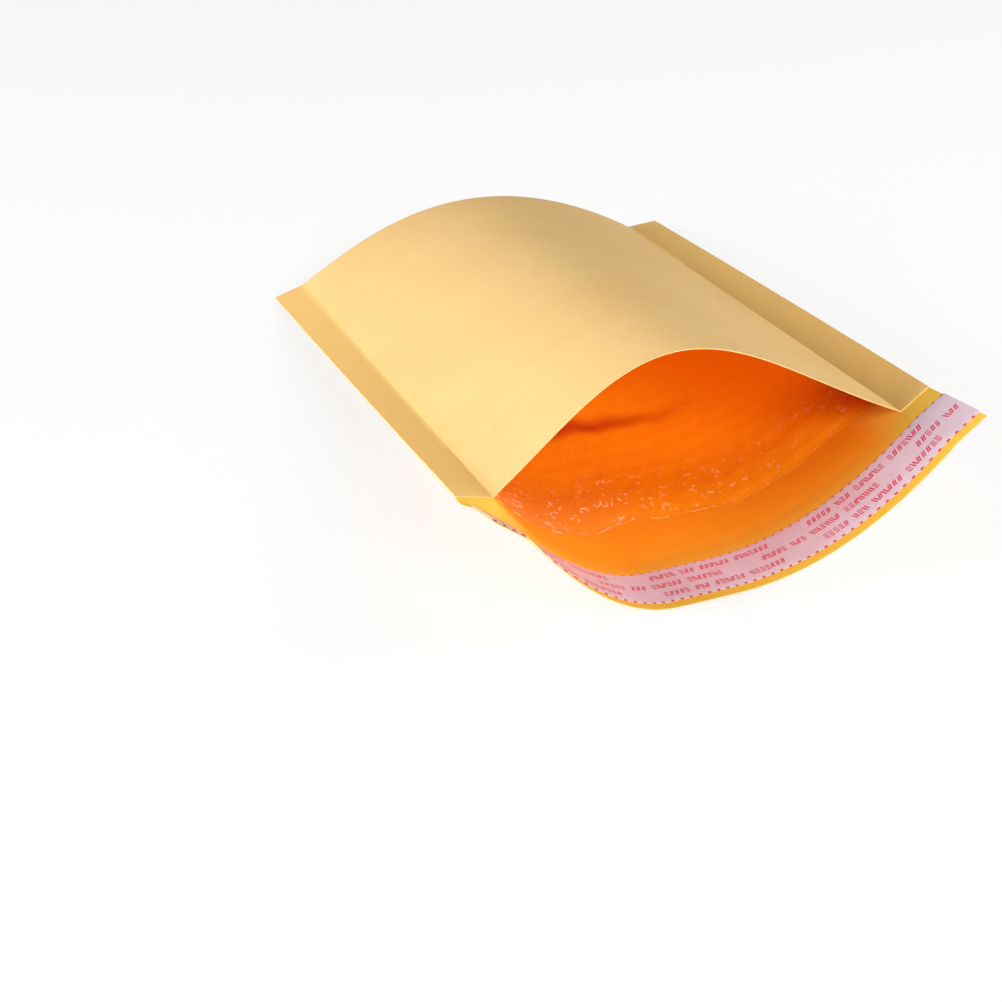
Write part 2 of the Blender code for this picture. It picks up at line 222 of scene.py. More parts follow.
def waves(across, along, size, seed):
    """A smooth random relief between about -1 and 1, with bumps about size millimetres apart."""
    draw = np.random.default_rng(seed)
    total = 0.0
    for turn in range(WAVE_COUNT):
        angle = math.pi * (turn + draw.uniform(-0.4, 0.4)) / WAVE_COUNT
        wave_length = size * draw.uniform(1.4, 2.6)
        run = across * math.cos(angle) + along * math.sin(angle)
        total = total + np.sin(2.0 * math.pi * run / wave_length + draw.uniform(0.0, 2.0 * math.pi))
    return total / math.sqrt(2.0 * WAVE_COUNT)


def upper_height(across, along):
    """Inner face of the upper panel: the mouth's arch passes into the lower arch of the closed end."""
    inward = along / POCKET_LENGTH
    mouth = RISE_MOUTH * arch(across, ARCH_SOFTNESS, ARCH_SKEW)
    closed = RISE_CLOSED * arch(across, 0.0, 0.0)
    return seam_height(along) + mix(mouth, closed, inward)


def flap_lift(across, along):
    """The flap's right side rises toward its free edge; its left side dips, most where the liner starts."""
    away = np.maximum(-along, 0.0)
    rise = FLAP_LIFT * away * np.maximum(across - TROUGH_CENTRE, 0.0)
    left = np.minimum((FLAP_LENGTH - away) / (FLAP_LENGTH - LINER_START), 1.0)
    dip = FLAP_DIP * ease(away / LINER_START, FLAP_DIP_CREASE) * left * (1.0 - trough(across)) ** 2
    return np.where(across > TROUGH_CENTRE, rise, -dip)


def lower_height(across, along):
    """Inner face of the lower panel: a trough that turns over into the arch of the closed end."""
    flap = DEPTH_MOUTH * (1.0 - trough(across)) + flap_lift(across, along)
    low = mix(seam_height(along), along * math.tan(PITCH), trough(across))
    high = upper_height(across, along) - closed_gap(across)
    turn = ease((along - REST_RUN) / TURN_RUN, TURN_CREASE)
    wave = TURN_WAVE * np.sin(math.pi * turn) * np.sin(math.pi * across)
    return np.where(along <= 0.0, flap, mix(low, high, turn) - wave)


def stretch(height, across, along):
    """How much taller a sheet of unit thickness measures when it is cut upright."""
    tiny = 0.002
    step = 0.5
    near = np.clip(across, tiny - 1.0, 1.0 - tiny)
    run = half_chord(along)
    slope_x = (height(near + tiny, along) - height(near - tiny, along)) / (2.0 * tiny * run)
    back = np.where(along > step, along - step, along)
    slope_y = (height(near, along + step) - height(near, back)) / (along + step - back)
    return np.sqrt(1.0 + slope_x ** 2 + np.where(along <= 0.0, 0.0, slope_y) ** 2)


def seam_edge(side, along):
    """Outer edge of a seam band, level frame: side is -1 at the left and +1 at the right."""
    inward = np.clip(along / POCKET_LENGTH, 0.0, 1.0)
    free = ease(-along / FLAP_TURN, 0.0)
    tilts = []
    for mouth, closed, flap in zip(SEAM_TILT_MOUTH, SEAM_TILT_CLOSED, FLAP_TILT):
        tilts.append(mix(mix(mouth, closed, inward), flap, free))
    tilt = np.where(side < 0, *tilts)
    reach = side * (1.0 + 2.0 * SEAM_WIDTH / CHORD_MOUTH)
    base = seam_height(np.maximum(along, 0.0)) + flap_lift(reach, along)
    return side * (half_chord(along) + SEAM_WIDTH * np.cos(tilt)), base + SEAM_WIDTH * np.sin(tilt)


def tip(points):
    """From the level frame, in millimetres, to the resting frame, in metres."""
    x, y, z = points.T
    sine, cosine = math.sin(PITCH), math.cos(PITCH)
    return np.column_stack((x, y * cosine + z * sine, z * cosine - y * sine)) * MM


def pocket_point(sideways, folded, raise_lower, raise_upper):
    """Points of a sheet that follows the paper's inner face, level frame.

    sideways is the flat distance from the middle line in millimetres, folded the place along the
    folded length, and the raises are upright distances from the paper into the pocket.
    """
    across = np.clip(sideways / HALF_PANEL, -1.0, 1.0)
    band = np.maximum(np.abs(sideways) - HALF_PANEL, 0.0) / SEAM_WIDTH
    side = np.where(sideways < 0, -1.0, 1.0)
    end = closed_row(across)
    pocket = np.where(folded <= FOLD_START, folded, np.minimum(UPPER_EDGE - folded, 1.0)) * end
    along = np.where(folded < MOUTH, folded * FLAP_LENGTH, pocket)
    low = lower_height(across, along) + raise_lower
    high = upper_height(across, along) - raise_upper
    turn = np.clip(folded - FOLD_START, 0.0, 1.0) * math.pi
    radius = np.where(turn > 0.0, (high - low) / 2.0, 0.0)
    on_lower = folded <= FOLD_START
    on_upper = folded >= FOLD_END
    z = np.where(on_lower, low, np.where(on_upper, high, (low + high) / 2.0 - radius * np.cos(turn)))
    y = along + np.where(on_upper, 0.0, radius * np.sin(turn))
    edge_x, edge_z = seam_edge(side, along)
    level = np.where(on_lower, raise_lower, np.where(on_upper, -raise_upper, z - seam_height(along)))
    x = mix(across * half_chord(along), edge_x, band)
    z = mix(z, edge_z + level, band)
    return np.column_stack((x, y, z))


def settle():
    """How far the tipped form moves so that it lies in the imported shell's box, in metres."""
    low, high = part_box("kraft_shell")
    sideways, folded = np.meshgrid(np.linspace(-FLAT_WIDTH / 2, FLAT_WIDTH / 2, 181),
                                   np.linspace(FLAP_TIP, UPPER_EDGE, 401))
    points = tip(pocket_point(sideways.ravel(), folded.ravel(), -PAPER, -PAPER))
    box_low, box_high = points.min(0), points.max(0)
    middle = (np.array(low) + np.array(high) - box_low - box_high) / 2.0
    return np.array((middle[0], middle[1], low[2] - box_low[2]))


SETTLE = settle()


def srgb(red, green, blue):
    """A screen colour from 0 to 255 as the linear colour that Blender mixes."""
    made = []
    for part in (red, green, blue):
        shown = part / 255.0
        made.append(shown / 12.92 if shown <= 0.04045 else ((shown + 0.055) / 1.055) ** 2.4)
    return tuple(made)


def colour(name, description, value):
    return bpy.props.FloatVectorProperty(name=name, description=description, default=srgb(*value),
                                         min=0.0, max=1.0, size=3, subtype="COLOR")


def length(name, description, millimetres):
    return bpy.props.FloatProperty(name=name, description=description, default=millimetres * MM,
                                   min=0.0, subtype="DISTANCE", unit="LENGTH")


def share(name, description, value):
    return bpy.props.FloatProperty(name=name, description=description, default=value,
                                   min=0.0, max=1.0, subtype="FACTOR")


def number(name, description, value):
    return bpy.props.FloatProperty(name=name, description=description, default=value, min=0.0)


class PaperSettings(bpy.types.PropertyGroup):
    """Sizes and colours of the kraft paper."""

    thickness: length("Thickness", "Thickness of the paper", PAPER)
    outside: colour("Outside", "Golden kraft on the outer side", (247, 208, 140))
    outside_dark: colour("Outside dark", "Darker fibres of the outer side", (242, 198, 128))
    inside: colour("Inside", "Deeper kraft on the inner side", (245, 196, 74))
    inside_dark: colour("Inside dark", "Darker fibres of the inner side", (240, 187, 60))
    # Painted bounce light and shade: the inner side's deeper orange toward the pocket stands in for light
    # that the film throws onto it.
    inside_painted_bounce: colour("Inside deep", "Inner side toward the pocket, tinted by the film", (246, 150, 16))
    # Painted shade: both side seam bands are drawn in a deeper tone, for the shade that falls on them.
    seam: colour("Seams", "Deeper tone of the pressed side seams", (250, 203, 122))
    cut: colour("Cut edge", "Pale fibres along a cut edge", (244, 205, 134))
    roughness: share("Roughness", "How matt the paper is", 0.62)
    print_through: length("Print-through", "How far the bubbles press into the paper", 0.025)


class FilmSettings(bpy.types.PropertyGroup):
    """Sizes and colours of the bubble film."""

    thickness: length("Thickness", "Thickness of the film", 0.12)
    bubble: length("Bubble", "Diameter of one bubble", 10.0)
    pitch: length("Pitch", "Distance between the middles of two bubbles", 11.0)
    height: length("Height", "How far the film stands off the paper between the bubbles", 2.0)
    swell: length("Swell", "How much higher the film stands over a bubble", 0.2)
    near: colour("Near colour", "Clear film over the paper beside its cut edge", (244, 146, 18))
    deep: colour("Deep colour", "Clear film over the paper deep in the pocket", (238, 142, 16))
    # Painted highlights: glint is the pale colour and shine the emitted light of the curls and flecks where
    # the film catches the light.
    glint: colour("Glint", "Pale curls and folds of the film", (255, 196, 176))
    shine: colour("Shine", "Light that the curls and folds throw back", (176, 130, 116))
    # Partly painted sheen: the milky film at the left is drawn paler, partly for the light it reflects.
    haze_sheen: colour("Haze", "Milky film where it bunches up at the left", (226, 132, 66))
    # Painted shade in the crease where the lower panel turns up.
    valley_shade: colour("Valley", "Deep red where the lower panel turns up", (196, 58, 14))
    # Painted glow: emitted light that stands in for light through the paper.
    glow: colour("Glow", "Light that comes through the paper deep in the pocket", (122, 66, 2))


class LinerSettings(bpy.types.PropertyGroup):
    """Sizes and colours of the release liner and the adhesive under it."""

    thickness: length("Thickness", "Thickness of the liner", 0.2)
    film: length("Film", "Thickness of the adhesive once the liner presses it down", 0.1)
    paper: colour("Liner", "Glossy release paper", (232, 212, 226))
    paper_dark: colour("Liner dark", "Cloudy places of the release paper", (224, 194, 206))
    ink: colour("Ink", "Printed marks", (216, 34, 88))
    row_pitch: length("Row pitch", "Distance between two printed rows", 6.1)
    mark_height: length("Mark height", "Height of one printed mark", 3.0)
    mark_pitch: length("Mark pitch", "Distance between two printed marks", 1.9)
    adhesive: colour("Adhesive", "Tacky strip under the liner", (240, 214, 150))


class StageSettings(bpy.types.PropertyGroup):
    """Light and floor."""

    left: number("Left light", "Power of the large soft light at the left, in watts", 30.5)
    front: number("Front light", "Power of the soft light in front, in watts", 18.5)
    right: number("Right light", "Power of the soft light at the right, in watts", 12.0)
    ambient: number("Ambient", "Strength of the even light all round", 0.1)
    floor: colour("Floor", "Pale floor", (252, 252, 250))


class Value:
    """A value that varies over a surface; arithmetic on it adds Math nodes."""

    def __init__(self, paint, socket):
        self.paint = paint
        self.socket = socket

    def math(self, operation, *others, swap=False):
        terms = [self, *others]
        if swap:
            terms.reverse()
        return self.paint.node("ShaderNodeMath", {"operation": operation}, dict(enumerate(terms)))

    def __add__(self, other):
        return self.math("ADD", other)

    def __sub__(self, other):
        return self.math("SUBTRACT", other)

    def __rsub__(self, other):
        return self.math("SUBTRACT", other, swap=True)

    def __mul__(self, other):
        return self.math("MULTIPLY", other)

    def __truediv__(self, other):
        return self.math("DIVIDE", other)

    __radd__ = __add__
    __rmul__ = __mul__

    def below(self, limit):
        return self.math("LESS_THAN", limit)

    def above(self, limit):
        return self.math("GREATER_THAN", limit)

    def least(self, other):
        return self.math("MINIMUM", other)

    def most(self, other):
        return self.math("MAXIMUM", other)

    def floor(self):
        return self.math("FLOOR")

    def fraction(self):
        return self.math("FRACT")

    def size(self):
        return self.math("ABSOLUTE")

    def modulo(self, other):
        return self.math("FLOORED_MODULO", other)

    def ramp(self, low, high):
        """0 below low, 1 above high, smooth between."""
        return self.paint.node("ShaderNodeMapRange", {"interpolation_type": "SMOOTHSTEP"},
                               {"Value": self, "From Min": low, "From Max": high})


class Paint:
    """A new material, and the calls that add nodes to it."""

    def __init__(self, name, **constants):
        self.material = bpy.data.materials.new(name)
        self.material.use_nodes = True
        self.tree = self.material.node_tree
        self.shader = self.tree.nodes["Principled BSDF"]
        for socket, value in constants.items():
            self.shader.inputs[socket.replace("_", " ")].default_value = value

    def feed(self, socket, value):
        if isinstance(value, Value):
            self.tree.links.new(value.socket, socket)
        elif hasattr(value, "__len__") and socket.type == "RGBA":
            socket.default_value = (*value[:3], 1.0)
        else:
            socket.default_value = value

    def node(self, kind, settings=None, sockets=None, output=0):
        """Adds a node: its settings first, then a value or a link for each of its sockets."""
        made = self.tree.nodes.new(kind)
        for name, value in (settings or {}).items():
            setattr(made, name, value)
        for name, value in (sockets or {}).items():
            self.feed(made.inputs[name], value)
        return Value(self, made.outputs[output])

    def blend(self, factor, first, second):
        sockets = {0: factor, 6: first, 7: second}
        return self.node("ShaderNodeMix", {"data_type": "RGBA"}, sockets, output=2)

    def flat_place(self):
        """The piece's own flat coordinates in millimetres, as a vector and as two numbers."""
        metres = self.node("ShaderNodeUVMap", {"uv_map": "flat"})
        place = self.node("ShaderNodeVectorMath", {"operation": "SCALE"},
                          {0: metres, "Scale": 1.0 / MM})
        parts = self.node("ShaderNodeSeparateXYZ", None, {0: place})
        return place, parts, Value(self, parts.socket.node.outputs[1])

    def noise(self, place, scale, detail=3.0, squeeze=(1.0, 1.0, 1.0), distortion=0.0):
        spot = self.node("ShaderNodeMapping", None, {"Vector": place, "Scale": squeeze})
        return self.node("ShaderNodeTexNoise", None,
                         {"Vector": spot, "Scale": scale, "Detail": detail, "Distortion": distortion})

    def bump(self, height, depth):
        """Height from 0 to 1 over a depth in metres."""
        normal = self.node("ShaderNodeBump", None, {"Height": height, "Distance": depth})
        self.feed(self.shader.inputs["Normal"], normal)

    def finish(self, **sockets):
        for socket, value in sockets.items():
            self.feed(self.shader.inputs[socket.replace("_", " ")], value)
        return self.material


# Depth of each surface's fine relief, in metres.
PAPER_RELIEF = 0.0001
FILM_RELIEF = 0.0002
STRIP_RELIEF = 0.00005

# The painted shade of the valley on the film, where the lower panel turns up: its distance from the cut
# edge and half its width, in millimetres.
VALLEY_DEPTH = 61.0
VALLEY_REACH = 7.0

# Scale and stretch of each layer of painted highlight flecks on the film.
GLINT_FLECKS = (
    (0.15, (1.0, 2.4, 1.0)),
    (0.17, (2.3, 0.9, 1.0)),
    (0.21, (1.6, 1.8, 1.0)),
)

# A printed line repeats after 32 cells. Three single cells of it and its last eight stay bare.
CELLS_IN_LINE = 32
BARE_CELLS = (5, 9, 16)
BARE_FROM = 24
MIDDLE_ROW_SHIFT = 11.0
ROW_DRAW_STEP = 57.0
DASH_PITCH = 3.4


def bubble_distance(paint, sideways, lengthways, pitch):
    """Distance in millimetres to the middle of the nearest bubble of a hexagonal pattern."""
    row = pitch * math.sqrt(3.0)
    nearest = None
    for shift in (0.0, 0.5):
        across = ((sideways / pitch + shift).fraction() - 0.5) * pitch
        along = ((lengthways / row + shift).fraction() - 0.5) * row
        distance = (across * across + along * along).math("SQRT")
        nearest = distance if nearest is None else nearest.least(distance)
    return nearest


def kraft_material(name, light, dark, seam, pocket, roughness, print_through, pitch, bubble):
    """Fibrous paper with the bubbles pressed through it; pocket is the painted bounce light and shade it
    takes inside, or None.
    """
    paint = Paint(name, Specular_IOR_Level=0.3)
    place, sideways, lengthways = paint.flat_place()
    fibres = paint.noise(place, 1.1, detail=4.0, squeeze=(1.0, 0.35, 1.0))
    pulp = paint.noise(place, 0.16, detail=3.0)
    clouds = paint.noise(place, 0.02, detail=2.0)
    tone = fibres.ramp(0.3, 0.75) * 0.3 + pulp.ramp(0.3, 0.7) * 0.2 + clouds.ramp(0.3, 0.7) * 0.5
    nearest = bubble_distance(paint, sideways, lengthways, pitch)
    pressed = 1.0 - nearest.ramp(bubble * 0.32, bubble * 0.52)
    seam_band = ((sideways - FLAT_WIDTH / 2).size() - HALF_PANEL).ramp(-2.5, 1.5)
    shade = paint.blend(tone, light, dark)

    # Painted bounce light and shade: the inner side grows deeper orange toward the pocket, but not along
    # its seams.
    if pocket:
        inward = (lengthways + clouds * 12.0).ramp(20.0, 48.0)
        from_seam = (HALF_PANEL - (sideways - FLAT_WIDTH / 2).size()).ramp(0.0, 14.0)
        shade = paint.blend(inward * from_seam, shade, pocket)
    # Painted shade on the outer side's seam bands; the inner side gives them its plain tone.
    shade = paint.blend(seam_band, shade, seam)
    paint.bump(fibres * 0.3 + pulp * 0.35 + pressed * (print_through / PAPER_RELIEF), PAPER_RELIEF)
    return paint.finish(Base_Color=shade, Roughness=roughness + fibres * 0.12)


def cut_edge_material(light, dark):
    """Fuzzy pale fibres where the paper was cut."""
    paint = Paint("paper_cut_edge", Specular_IOR_Level=0.2)
    place = paint.flat_place()[0]
    fuzz = paint.noise(place, 2.4, detail=4.0)
    shade = paint.blend(fuzz.ramp(0.35, 0.8), light, dark)
    paint.bump(fuzz, PAPER_RELIEF)
    return paint.finish(Base_Color=shade, Roughness=0.8 + fuzz * 0.1)


def film_material(settings):
    """Clear glossy film over kraft paper, with painted highlights, sheen, shade and glow; its flat
    coordinates count from its own cut edge.
    """
    paint = Paint("bubble_film", Coat_Roughness=0.06, Coat_IOR=1.5, Specular_IOR_Level=0.5)
    place, sideways, depth = paint.flat_place()
    crumple = paint.noise(place, 0.22, detail=4.0, distortion=0.6)
    clouds = paint.noise(place, 0.05, detail=2.0)
    inward = (depth / 22.0 + (clouds - 0.5) * 0.4).ramp(0.0, 1.0)
    shade = paint.blend(inward, settings.near, settings.deep)

    # Painted highlights: short pale arcs and flecks where the crumpled film catches the light, most of them
    # at the left, in the base colour and, below, in the emission.
    left = 1.0 - sideways.ramp(40.0, 150.0)
    close = (1.0 - depth.ramp(14.0, 34.0)) * (0.2 + left * 0.8)
    cells = paint.node("ShaderNodeTexVoronoi", {"feature": "F1"}, {"Vector": place, "Scale": 0.13})
    ring = 1.0 - ((cells - 0.3).size() / 0.045).ramp(0.0, 1.0)
    glint_arcs = ring * paint.noise(place, 0.35, detail=2.0).ramp(0.53, 0.6) * left
    glint_flecks = None
    for scale, stretched in GLINT_FLECKS:
        spot = paint.node("ShaderNodeMapping", None, {"Vector": place, "Scale": stretched})
        near = paint.node("ShaderNodeTexVoronoi", {"feature": "F1"}, {"Vector": spot, "Scale": scale})
        glint_fleck = (1.0 - near.ramp(0.12, 0.22)) * paint.noise(spot, 0.08, detail=1.0).ramp(0.5, 0.56)
        glint_flecks = glint_fleck if glint_flecks is None else glint_flecks.most(glint_fleck)
    edge = (1.0 - depth.ramp(0.1, 0.55)) * paint.noise(place, 0.14, detail=3.0).ramp(0.46, 0.58)
    glints = ((glint_arcs * 0.9).most(glint_flecks * 0.7) * close).most(edge * left * 0.6)
    # Milky film at the left near its edge, partly painted sheen of reflected light.
    milky_sheen = (1.0 - depth.ramp(6.0, 40.0)) * (1.0 - sideways.ramp(15.0, 95.0))
    shade = paint.blend(milky_sheen * (0.35 + clouds * 0.5), shade, settings.haze_sheen)
    shade = paint.blend(glints, shade, settings.glint)
    paint.bump(crumple, FILM_RELIEF)

    # Painted glow: the film emits light that stands in for light through the paper behind it, weaker along
    # the valley's painted shade where the lower panel turns up; the painted highlights glow as well.
    paint.shader.inputs["Emission Strength"].default_value = 1.0
    paint.material.cycles.emission_sampling = "NONE"
    from_valley = ((depth - VALLEY_DEPTH) / VALLEY_REACH).size()
    valley_shade = (1.0 - from_valley.ramp(0.0, 1.0)) * (1.0 - sideways.ramp(78.0, 130.0))
    lit = depth.ramp(4.0, 50.0) * (1.0 - valley_shade * 0.9) * (0.7 + sideways.ramp(60.0, 120.0) * 0.3)
    painted_glow = paint.blend(lit, (0.0, 0.0, 0.0), settings.glow)
    painted_glow = paint.blend(glints, painted_glow, settings.shine)
    # Painted shade along the valley, drawn deep red.
    shade = paint.blend(valley_shade * 0.95, shade, settings.valley_shade)
    return paint.finish(Base_Color=shade, Emission_Color=painted_glow, Roughness=0.2 + crumple * 0.15,
                        Coat_Weight=0.5 + crumple * 0.5)


def liner_material(settings):
    """Release paper with three rows of small printed marks in groups, and dashes along both edges."""
    paint = Paint("release_liner", Coat_Roughness=0.15, Specular_IOR_Level=0.5)
    place, run, rise = paint.flat_place()
    grain = paint.noise(place, 0.7, detail=3.0)
    clouds = paint.noise(place, 0.05, detail=2.0)
    pitch = settings.mark_pitch / MM
    half_height = settings.mark_height / MM / 2.0
    ink = None

    # Each cell of a row draws one mark: two strokes that lean one way or the other, or stacked bars.
    for row in (-1, 0, 1):
        above = rise - (LINER_WIDTH / 2.0 + row * settings.row_pitch / MM)
        cells = run / pitch + (MIDDLE_ROW_SHIFT if row == 0 else 0.0)
        cell = cells.floor()
        spot = (cells.fraction() - 0.5) * pitch
        draw = paint.node("ShaderNodeTexWhiteNoise", {"noise_dimensions": "1D"},
                          {"W": cell + row * ROW_DRAW_STEP}, output=0)
        slanted = ((spot - above * 0.25).size() - 0.34).size().below(0.24)
        stacked = (above / 1.2 + 0.25).fraction().below(0.54) * spot.size().below(0.72)
        pair = ((spot + above * 0.2).size() - 0.45).size().below(0.27)
        is_slanted = draw.below(0.38)
        is_pair = draw.above(0.7)
        is_stacked = (1.0 - is_slanted) * (1.0 - is_pair)
        mark = slanted * is_slanted + pair * is_pair + stacked * is_stacked
        place_in_line = cell.modulo(CELLS_IN_LINE)
        filled = place_in_line.below(BARE_FROM - 0.5)
        for gap in BARE_CELLS:
            filled = filled * (place_in_line - gap).size().above(0.5)
        row_ink = mark * filled * above.size().below(half_height)
        ink = row_ink if ink is None else ink + row_ink

    # Dashes along both long edges, and worn places in all of the print.
    from_edge = rise.least(LINER_WIDTH - rise)
    dashes = (run / DASH_PITCH + rise / 40.0).fraction().below(0.34) * (from_edge - 0.3).size().below(0.32)
    ink = (ink + dashes).least(1.0) * paint.noise(place, 1.6, detail=2.0).ramp(0.22, 0.42)
    base = paint.blend((clouds * 0.6 + grain * 0.4).ramp(0.35, 0.7), settings.paper, settings.paper_dark)
    shade = paint.blend(ink * 0.97, base, settings.ink)
    paint.bump(grain, STRIP_RELIEF)
    return paint.finish(Base_Color=shade, Roughness=0.3 + grain * 0.15, Coat_Weight=0.3 + grain * 0.2)


def adhesive_material(shade):
    """Tacky transparent strip: it is seen only past the liner's edges."""
    paint = Paint("adhesive", Coat_Roughness=0.1, Specular_IOR_Level=0.5)
    place = paint.node("ShaderNodeTexCoord", None, None, output=3)
    grain = paint.noise(place, 700.0, detail=3.0)
    dark = tuple(part * 0.82 for part in shade)
    paint.bump(grain, STRIP_RELIEF)
    return paint.finish(Base_Color=paint.blend(grain.ramp(0.3, 0.7), shade, dark),
                        Roughness=0.25 + grain * 0.2, Coat_Weight=0.4 + grain * 0.3)


def flat_grid(name, columns, rows):
    """Adds a grid primitive and returns it with, for each point, its column and row value."""
    bpy.ops.object.select_all(action="DESELECT")
    bpy.ops.mesh.primitive_grid_add(x_subdivisions=len(columns) - 1,
                                    y_subdivisions=len(rows) - 1, size=1.0)
    piece = bpy.context.object
    piece.name = name
    piece.data.name = name
    count = len(piece.data.vertices)
    flat = np.zeros(count * 3)
    piece.data.vertices.foreach_get("co", flat)
    share_x, share_y = flat.reshape(-1, 3)[:, 0] + 0.5, flat.reshape(-1, 3)[:, 1] + 0.5
    column = np.interp(share_x, np.linspace(0.0, 1.0, len(columns)), columns)
    row = np.interp(share_y, np.linspace(0.0, 1.0, len(rows)), rows)
    return piece, column, row


def lay(piece, points, flat_x, flat_y):
    """Moves the grid's points to their place, and keeps their flat place as the piece's UV map."""
    piece.data.vertices.foreach_set("co", (tip(points) + SETTLE).ravel())
    corners = np.zeros(len(piece.data.loops), dtype=np.int32)
    piece.data.loops.foreach_get("vertex_index", corners)
    flat = piece.data.uv_layers.new(name="flat")
    flat.data.foreach_set("uv", np.column_stack((flat_x, flat_y))[corners].ravel() * MM)
    for other in [layer for layer in piece.data.uv_layers if layer.name != "flat"]:
        piece.data.uv_layers.remove(other)
    piece.data.update()


def thicken(piece, thickness, side_away=0, rim=0):
    """Gives the sheet its thickness behind its face; side_away and rim pick those faces' materials."""
    solid = piece.modifiers.new("thickness", "SOLIDIFY")
    solid.thickness = thickness
    solid.offset = -1.0
    solid.material_offset = side_away
    solid.material_offset_rim = rim
    bpy.context.view_layer.objects.active = piece
    piece.select_set(True)
    bpy.ops.object.modifier_apply(modifier=solid.name)
    bpy.ops.object.shade_smooth_by_angle(angle=SHARP_ANGLE)


def belong(piece, node):
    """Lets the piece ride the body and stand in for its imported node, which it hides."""
    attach(piece, BODY)
    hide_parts(node)


def steps(start, end, step):
    """Evenly spaced numbers from start up to, and without, end."""
    count = max(round(abs(end - start) / step), 1)
    return list(start + (end - start) * np.arange(count) / count)


class ENVELOPE_OT_kraft_paper(bpy.types.Operator):
    """Fold one kraft sheet into the pocket and its flap"""

    bl_idname = "envelope.kraft_paper"
    bl_label = "Kraft paper"

    def execute(self, context):
        settings = context.scene.envelope_paper
        film = context.scene.envelope_film
        edge = FLAT_WIDTH / 2
        crease = [HALF_PANEL - inset for inset in CREASE_INSETS]
        half = steps(0.0, crease[0], PAPER_COLUMN) + crease + steps(HALF_PANEL, edge, BAND_COLUMN) + [edge]
        columns = [-place for place in reversed(half[1:])] + half
        step = PAPER_ROW / POCKET_LENGTH
        rows = steps(FLAP_TIP, MOUTH, FLAP_ROW / FLAP_LENGTH) + steps(MOUTH, FOLD_START, step)
        rows += steps(FOLD_START, FOLD_END, PAPER_FOLD_ROW)
        rows += steps(FOLD_END, UPPER_EDGE, step) + [UPPER_EDGE]
        piece, sideways, folded = flat_grid("kraft_paper", columns, rows)
        points = pocket_point(sideways, folded, -HAIR, -HAIR)
        whole = FLAP_LENGTH + POCKET_LENGTH
        lengthways = np.where(folded < MOUTH, FLAP_LENGTH * (folded + 1.0),
                              np.interp(folded, (MOUTH, FOLD_START, FOLD_END, UPPER_EDGE),
                                        (FLAP_LENGTH, whole, whole, whole + POCKET_LENGTH)))
        lay(piece, points, sideways + edge, lengthways)
        pitch, bubble = film.pitch / MM, film.bubble / MM
        look = (settings.roughness, settings.print_through, pitch, bubble)
        inner = (settings.inside, settings.inside_dark, settings.inside, settings.inside_painted_bounce)
        outer = (settings.outside, settings.outside_dark, settings.seam, None)
        piece.data.materials.append(kraft_material("kraft_inside", *inner, *look))
        piece.data.materials.append(kraft_material("kraft_outside", *outer, *look))
        piece.data.materials.append(cut_edge_material(settings.cut, settings.outside))
        thicken(piece, settings.thickness, side_away=1, rim=2)
        belong(piece, "kraft_shell")
        return {"FINISHED"}


def nearest_bubble(sideways, lengthways, pitch):
    """Distance in millimetres to the middle of the nearest bubble of a hexagonal pattern."""
    row = pitch * math.sqrt(3.0)
    nearest = np.full(np.shape(sideways), np.inf)
    for shift in (0.0, 0.5):
        across = ((sideways / pitch + shift) % 1.0 - 0.5) * pitch
        along = ((lengthways / row + shift) % 1.0 - 0.5) * row
        nearest = np.minimum(nearest, np.hypot(across, along))
    return nearest


def film_start(across, middle):
    """Distance of the film's edge from the mouth line: it waves across the opening."""
    bulge = 1.0 - across ** 2
    ripple = FILM_RIPPLE * np.cos(5.0 * across + 1.2) * bulge
    small = (0.8 * np.sin(19.0 * across) + 0.5 * np.sin(37.0 * across + 2.0)) * bulge
    return FILM_SET_BACK + (middle - FILM_SET_BACK) * bulge + ripple + small


def film_depth(height, other, across, along, wanted):
    """Upright distance from the paper's inner face to the film's free face."""
    slope = stretch(height, across, along)
    gap = np.abs(upper_height(across, along) - lower_height(across, along))
    room = (gap - PLAY * (slope + stretch(other, across, along)) - FILM_LEAST_GAP) / 2.0
    return PLAY * slope + np.maximum(np.minimum(wanted * slope, room), FILM_LEAST)


